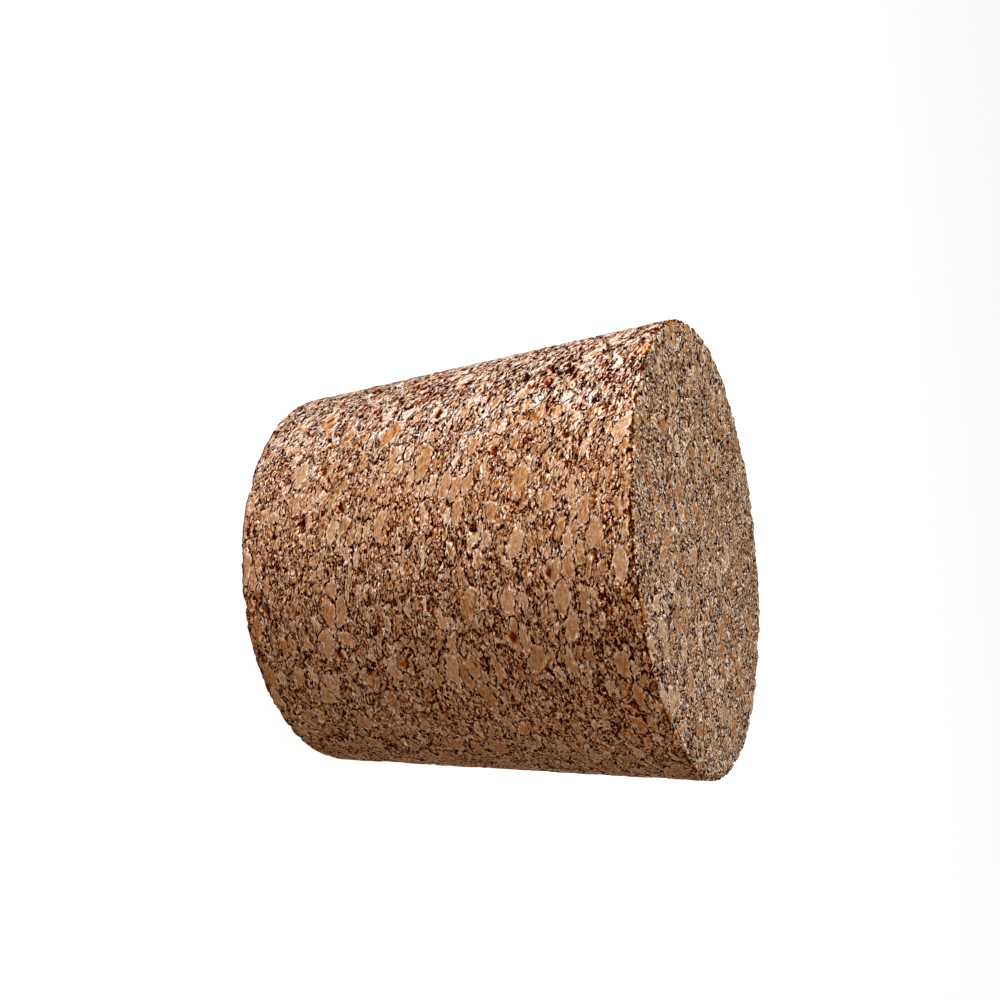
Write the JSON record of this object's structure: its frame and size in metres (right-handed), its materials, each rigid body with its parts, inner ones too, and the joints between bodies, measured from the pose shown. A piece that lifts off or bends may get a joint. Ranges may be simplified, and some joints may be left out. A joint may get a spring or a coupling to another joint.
{
  "type": "tapered cork stopper",
  "caption": "Tapered plug of pressed cork granules with a flat round end at top and bottom, which stops the mouth of a jar or bottle.",
  "frame": {"origin": "middle of the small end face, on which the stopper stands", "axes": "+Z along the stopper's axis, from the small end up to the large end; it is round about +Z, and -Y faces the picture's camera"},
  "size_m": [0.0444, 0.0444, 0.0405],
  "materials": {
    "pressed_cork": "matt sanded cork granules in tan, buff and red brown, with dark brown gaps between them"
  },
  "bodies": {
    "root": {"cork_stopper": "pressed_cork"}
  },
  "joints": []
}
